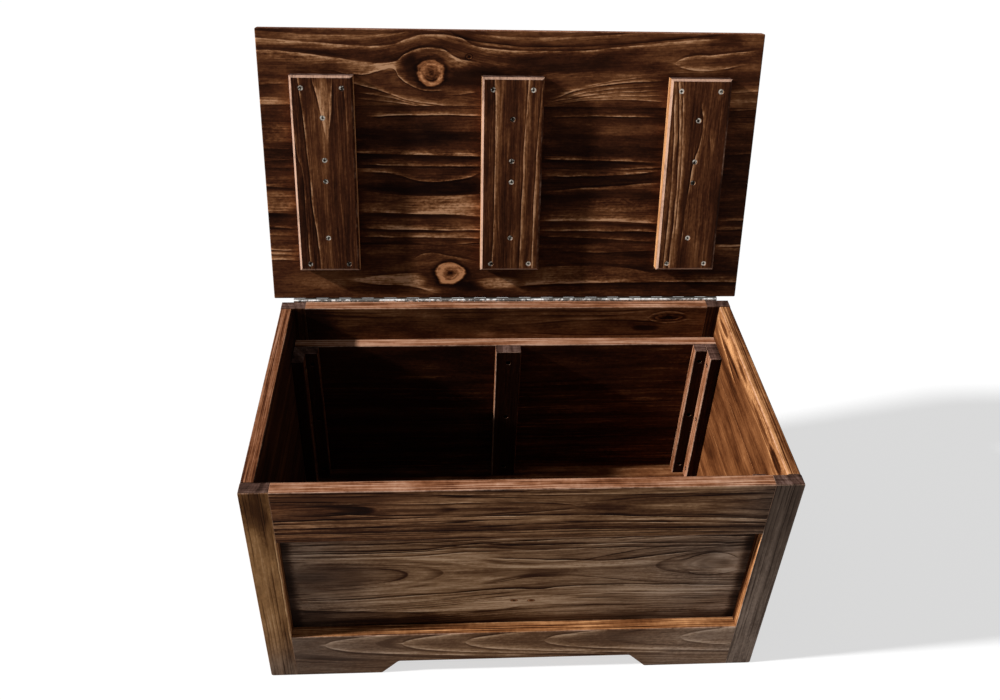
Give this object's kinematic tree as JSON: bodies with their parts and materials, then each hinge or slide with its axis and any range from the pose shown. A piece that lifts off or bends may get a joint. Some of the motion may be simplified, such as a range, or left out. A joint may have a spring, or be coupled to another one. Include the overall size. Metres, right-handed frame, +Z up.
{
  "type": "wooden trunk",
  "caption": "Rectangular softwood blanket chest with framed front and back panels, cut-out feet and a flat overhanging lid on a long rear hinge.",
  "frame": {"origin": "on the floor, under the middle of the trunk's overall box with its lid open", "axes": "+Z up, -Y out of the front, +X to the right as seen from the front"},
  "size_m": [0.828, 0.5892, 0.8832],
  "materials": {
    "back_bottom_rail": "torched and brushed softwood, satin",
    "back_centre_strip": "torched and brushed softwood, satin",
    "back_left_panel_strip": "torched and brushed softwood, satin",
    "back_left_stile": "torched and brushed softwood, satin",
    "back_left_wall_strip": "torched and brushed softwood, satin",
    "back_panel": "torched and brushed softwood, satin",
    "back_right_panel_strip": "torched and brushed softwood, satin",
    "back_right_stile": "torched and brushed softwood, satin",
    "back_right_wall_strip": "torched and brushed softwood, satin",
    "back_strip_screws": "zinc plated steel, dulled",
    "back_top_rail": "torched and brushed softwood, satin",
    "floor_bearer_left": "torched and brushed softwood, satin",
    "floor_bearer_right": "torched and brushed softwood, satin",
    "floor_board_1": "torched and brushed softwood, satin",
    "floor_board_2": "torched and brushed softwood, satin",
    "floor_board_3": "torched and brushed softwood, satin",
    "floor_board_4": "torched and brushed softwood, satin",
    "front_bottom_rail": "torched and brushed softwood, satin",
    "front_centre_strip": "torched and brushed softwood, satin",
    "front_left_panel_strip": "torched and brushed softwood, satin",
    "front_left_stile": "torched and brushed softwood, satin",
    "front_left_wall_strip": "torched and brushed softwood, satin",
    "front_panel": "torched and brushed softwood, satin",
    "front_right_panel_strip": "torched and brushed softwood, satin",
    "front_right_stile": "torched and brushed softwood, satin",
    "front_right_wall_strip": "torched and brushed softwood, satin",
    "front_strip_screws": "zinc plated steel, dulled",
    "front_top_rail": "torched and brushed softwood, satin",
    "hinge_chest_leaf": "zinc plated steel, dulled",
    "hinge_chest_screws": "zinc plated steel, dulled",
    "hinge_lid_leaf": "zinc plated steel, dulled",
    "hinge_lid_screws": "zinc plated steel, dulled",
    "hinge_pin": "zinc plated steel, dulled",
    "left_wall_bottom_board": "torched and brushed softwood, satin",
    "left_wall_middle_1_board": "torched and brushed softwood, satin",
    "left_wall_middle_2_board": "torched and brushed softwood, satin",
    "left_wall_top_board": "torched and brushed softwood, satin",
    "lid_batten_left": "torched and brushed softwood, satin",
    "lid_batten_left_screws": "zinc plated steel, dulled",
    "lid_batten_middle": "torched and brushed softwood, satin",
    "lid_batten_middle_screws": "zinc plated steel, dulled",
    "lid_batten_right": "torched and brushed softwood, satin",
    "lid_batten_right_screws": "zinc plated steel, dulled",
    "lid_board_1": "torched and brushed softwood, satin",
    "lid_board_2": "torched and brushed softwood, satin",
    "lid_board_3": "torched and brushed softwood, satin",
    "lid_board_4": "torched and brushed softwood, satin",
    "right_wall_bottom_board": "torched and brushed softwood, satin",
    "right_wall_middle_1_board": "torched and brushed softwood, satin",
    "right_wall_middle_2_board": "torched and brushed softwood, satin",
    "right_wall_top_board": "torched and brushed softwood, satin"
  },
  "bodies": {
    "chest": {"back_bottom_rail": "back_bottom_rail", "back_centre_strip": "back_centre_strip", "back_left_panel_strip": "back_left_panel_strip", "back_left_stile": "back_left_stile", "back_left_wall_strip": "back_left_wall_strip", "back_panel": "back_panel", "back_right_panel_strip": "back_right_panel_strip", "back_right_stile": "back_right_stile", "back_right_wall_strip": "back_right_wall_strip", "back_strip_screws": "back_strip_screws", "back_top_rail": "back_top_rail", "floor_bearer_left": "floor_bearer_left", "floor_bearer_right": "floor_bearer_right", "floor_board_1": "floor_board_1", "floor_board_2": "floor_board_2", "floor_board_3": "floor_board_3", "floor_board_4": "floor_board_4", "front_bottom_rail": "front_bottom_rail", "front_centre_strip": "front_centre_strip", "front_left_panel_strip": "front_left_panel_strip", "front_left_stile": "front_left_stile", "front_left_wall_strip": "front_left_wall_strip", "front_panel": "front_panel", "front_right_panel_strip": "front_right_panel_strip", "front_right_stile": "front_right_stile", "front_right_wall_strip": "front_right_wall_strip", "front_strip_screws": "front_strip_screws", "front_top_rail": "front_top_rail", "hinge_chest_leaf": "hinge_chest_leaf", "hinge_chest_screws": "hinge_chest_screws", "hinge_pin": "hinge_pin", "left_wall_bottom_board": "left_wall_bottom_board", "left_wall_middle_1_board": "left_wall_middle_1_board", "left_wall_middle_2_board": "left_wall_middle_2_board", "left_wall_top_board": "left_wall_top_board", "right_wall_bottom_board": "right_wall_bottom_board", "right_wall_middle_1_board": "right_wall_middle_1_board", "right_wall_middle_2_board": "right_wall_middle_2_board", "right_wall_top_board": "right_wall_top_board"},
    "lid": {"hinge_lid_leaf": "hinge_lid_leaf", "hinge_lid_screws": "hinge_lid_screws", "lid_batten_left": "lid_batten_left", "lid_batten_left_screws": "lid_batten_left_screws", "lid_batten_middle": "lid_batten_middle", "lid_batten_middle_screws": "lid_batten_middle_screws", "lid_batten_right": "lid_batten_right", "lid_batten_right_screws": "lid_batten_right_screws", "lid_board_1": "lid_board_1", "lid_board_2": "lid_board_2", "lid_board_3": "lid_board_3", "lid_board_4": "lid_board_4"}
  },
  "joints": [
    {"name": "lid_hinge", "type": "hinge", "parent": "chest", "child": "lid", "pos_m": [0, 0.16093, 0.4325], "axis": [1, 0, 0], "range_deg": [0, 104.2]}
  ]
}
